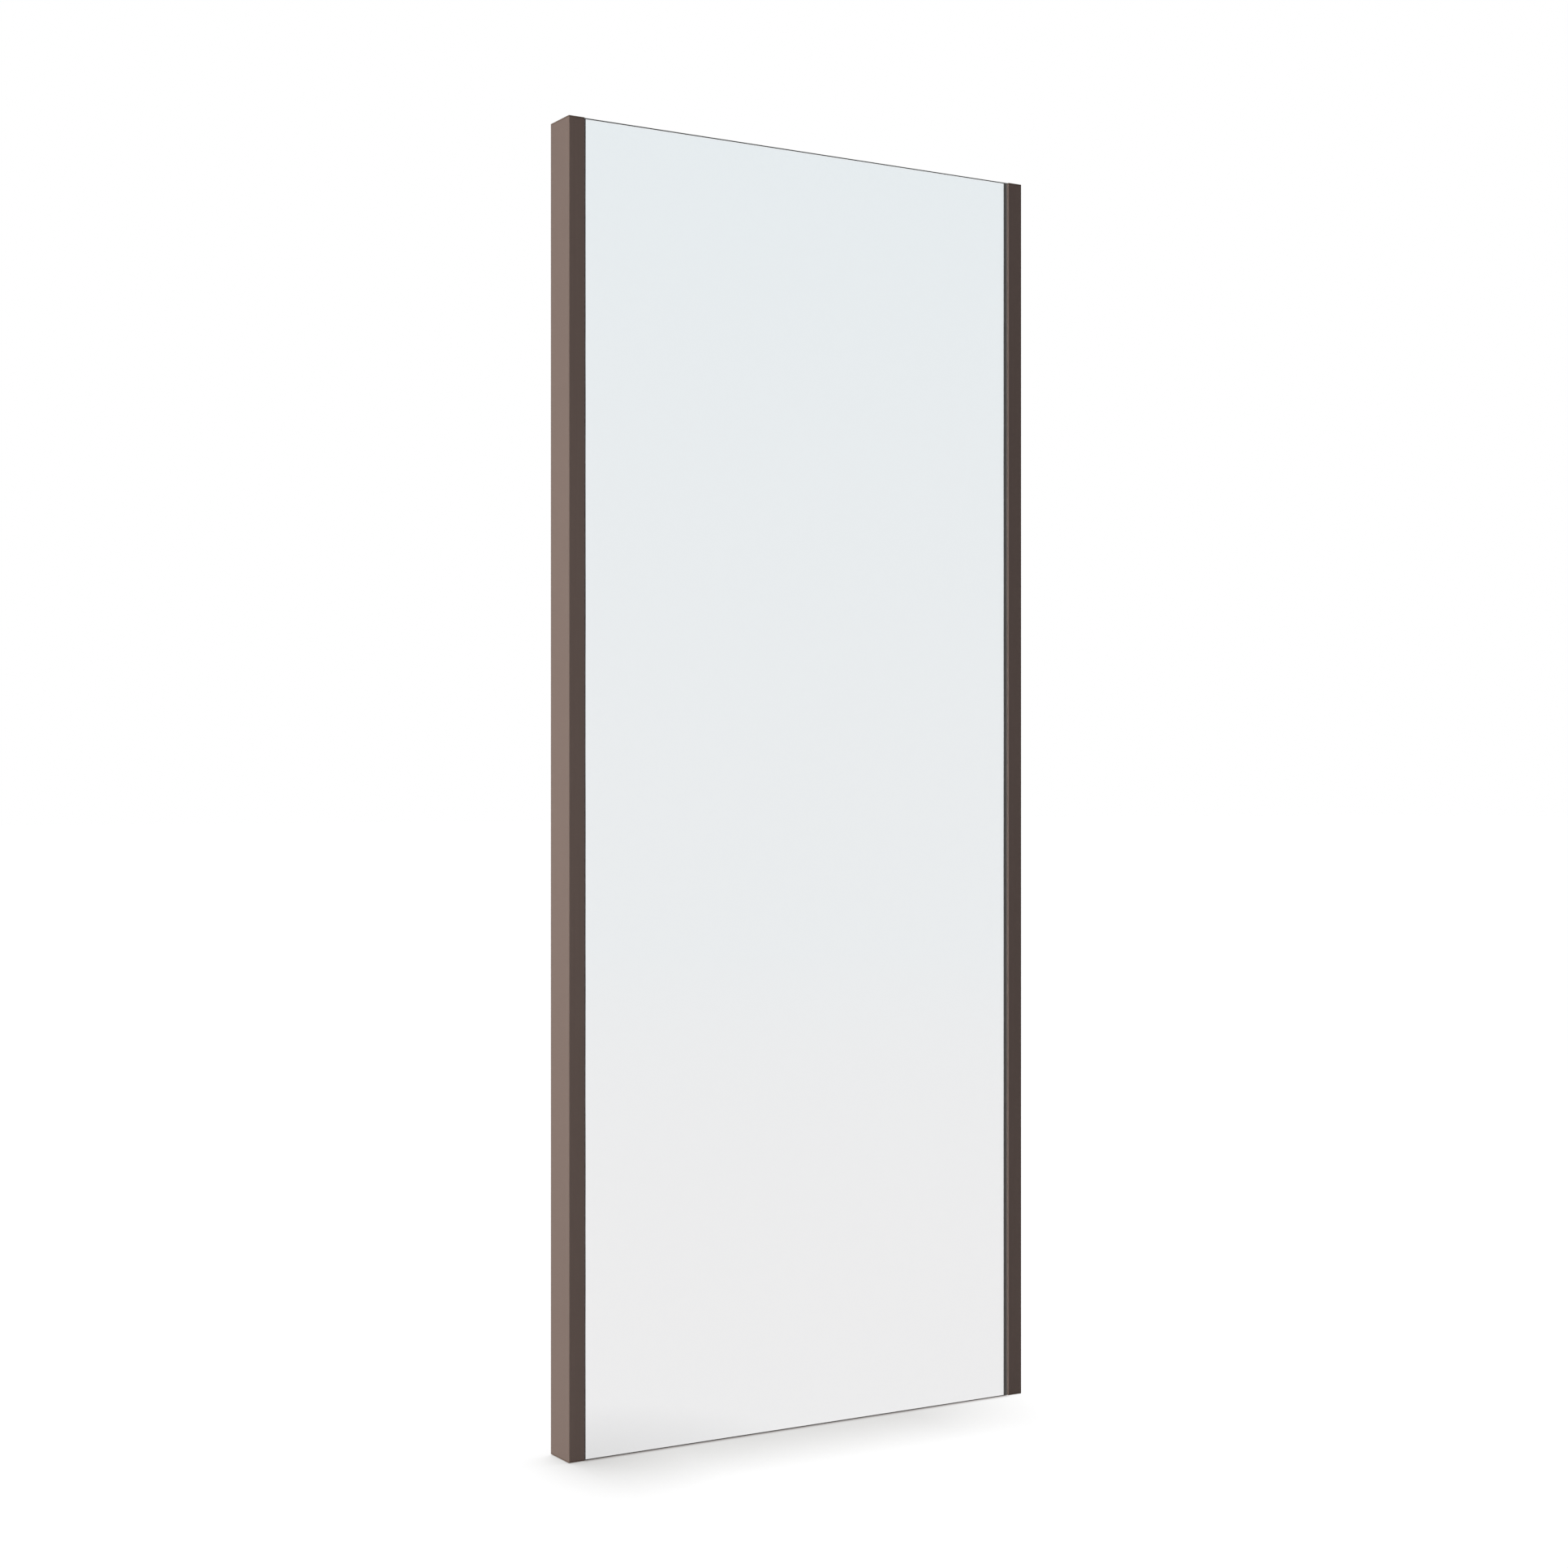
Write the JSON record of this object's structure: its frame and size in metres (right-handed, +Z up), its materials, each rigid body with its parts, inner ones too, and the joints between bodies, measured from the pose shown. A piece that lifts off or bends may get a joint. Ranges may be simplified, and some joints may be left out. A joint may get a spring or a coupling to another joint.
{
  "type": "wardrobe interior mirror",
  "caption": "Tall mirror with bare glass ends between bronze box stiles, on hidden ball slides and a vertical pivot, to pull out of a wardrobe and swivel.",
  "frame": {"origin": "on the rear face of the mounting, in the plane of the wardrobe's side panel, at mid width and mid height of the closed mirror", "axes": "+Z up, +Y from the mirror's face to the wardrobe's side panel, +X from the leading stile to the trailing stile, so the mirror faces -Y and pulls out towards -X"},
  "size_m": [0.5, 0.0385, 1.2],
  "materials": {
    "bronze_lacquer": "matt bronze-taupe lacquer on drawn aluminium profile",
    "bronze_cap": "matt moulded cap in the colour of the stiles",
    "clear_glass": "clear float glass with ground edges",
    "silver": "silvered",
    "safety_film": "grey safety film",
    "foam_tape": "black closed-cell foam tape",
    "backing_board": "fibreboard faced in dark melamine",
    "plain_aluminium": "plain mill-finish aluminium",
    "zinc_steel": "bright zinc-plated steel",
    "ball_steel": "polished hardened steel",
    "nylon": "natural nylon",
    "black_rubber": "black rubber",
    "catch_housing": "black moulded housing round a magnet",
    "black_screws": "black zinc-plated screw steel"
  },
  "bodies": {
    "side_mount": {"mounting_plate_upper": "zinc_steel", "mounting_plate_lower": "zinc_steel", "spine_strip": "zinc_steel", "spine_rivets": "zinc_steel", "slide_outer_member_upper": "zinc_steel", "slide_outer_member_lower": "zinc_steel", "slide_rivets": "zinc_steel", "closing_buffers": "black_rubber"},
    "middle_members": {"slide_middle_member_upper": "zinc_steel", "slide_middle_member_lower": "zinc_steel"},
    "outer_ball_cages": {"outer_ball_cage_upper": "nylon", "outer_ball_cage_lower": "nylon", "outer_balls": "ball_steel"},
    "inner_ball_cages": {"inner_ball_cage_upper": "nylon", "inner_ball_cage_lower": "nylon", "inner_balls": "ball_steel"},
    "carriage": {"slide_inner_member_upper": "zinc_steel", "slide_inner_member_lower": "zinc_steel", "carriage_bracket_upper": "zinc_steel", "carriage_bracket_lower": "zinc_steel", "bracket_screws": "black_screws", "bracket_nuts": "black_screws", "grub_screws": "black_screws", "pivot_tube": "zinc_steel", "tube_plug_upper": "zinc_steel", "tube_plug_lower": "zinc_steel", "pivot_pin_upper": "ball_steel", "pivot_pin_lower": "ball_steel", "friction_washer_upper": "nylon", "friction_washer_lower": "nylon", "magnet_catches": "catch_housing"},
    "mirror_panel": {"stile_leading": "bronze_lacquer", "stile_trailing": "bronze_lacquer", "stile_cap_leading_top": "bronze_cap", "stile_cap_leading_bottom": "bronze_cap", "stile_cap_trailing_top": "bronze_cap", "stile_cap_trailing_bottom": "bronze_cap", "mirror_glass": "clear_glass", "silver_coating": "silver", "safety_film": "safety_film", "bonding_tape": "foam_tape", "backing_board": "backing_board", "board_screws": "black_screws", "end_rail_upper": "plain_aluminium", "end_rail_lower": "plain_aluminium", "pivot_rail_upper": "plain_aluminium", "pivot_rail_lower": "plain_aluminium", "rail_end_plugs": "nylon", "corner_brackets": "zinc_steel", "corner_screws": "black_screws", "rubber_pads": "black_rubber", "pivot_bushes": "nylon", "strike_plates": "zinc_steel"}
  },
  "joints": [
    {"name": "slide_out", "type": "slide", "parent": "side_mount", "child": "carriage", "axis": [-1, 0, 0], "range_m": [0, 0.3]},
    {"name": "middle_slide", "type": "slide", "parent": "side_mount", "child": "middle_members", "axis": [-1, 0, 0], "range_m": [0, 0.15]},
    {"name": "outer_cage_slide", "type": "slide", "parent": "side_mount", "child": "outer_ball_cages", "axis": [-1, 0, 0], "range_m": [0, 0.075]},
    {"name": "inner_cage_slide", "type": "slide", "parent": "side_mount", "child": "inner_ball_cages", "axis": [-1, 0, 0], "range_m": [0, 0.225]},
    {"name": "swivel", "type": "hinge", "parent": "carriage", "child": "mirror_panel", "pos_m": [-0.095, -0.014, 0], "axis": [0, 0, 1], "range_deg": [-90, 0]}
  ],
  "couplings": [
    {"joint": "middle_slide", "follows": "slide_out", "ratio": 0.5},
    {"joint": "outer_cage_slide", "follows": "slide_out", "ratio": 0.25},
    {"joint": "inner_cage_slide", "follows": "slide_out", "ratio": 0.75}
  ]
}
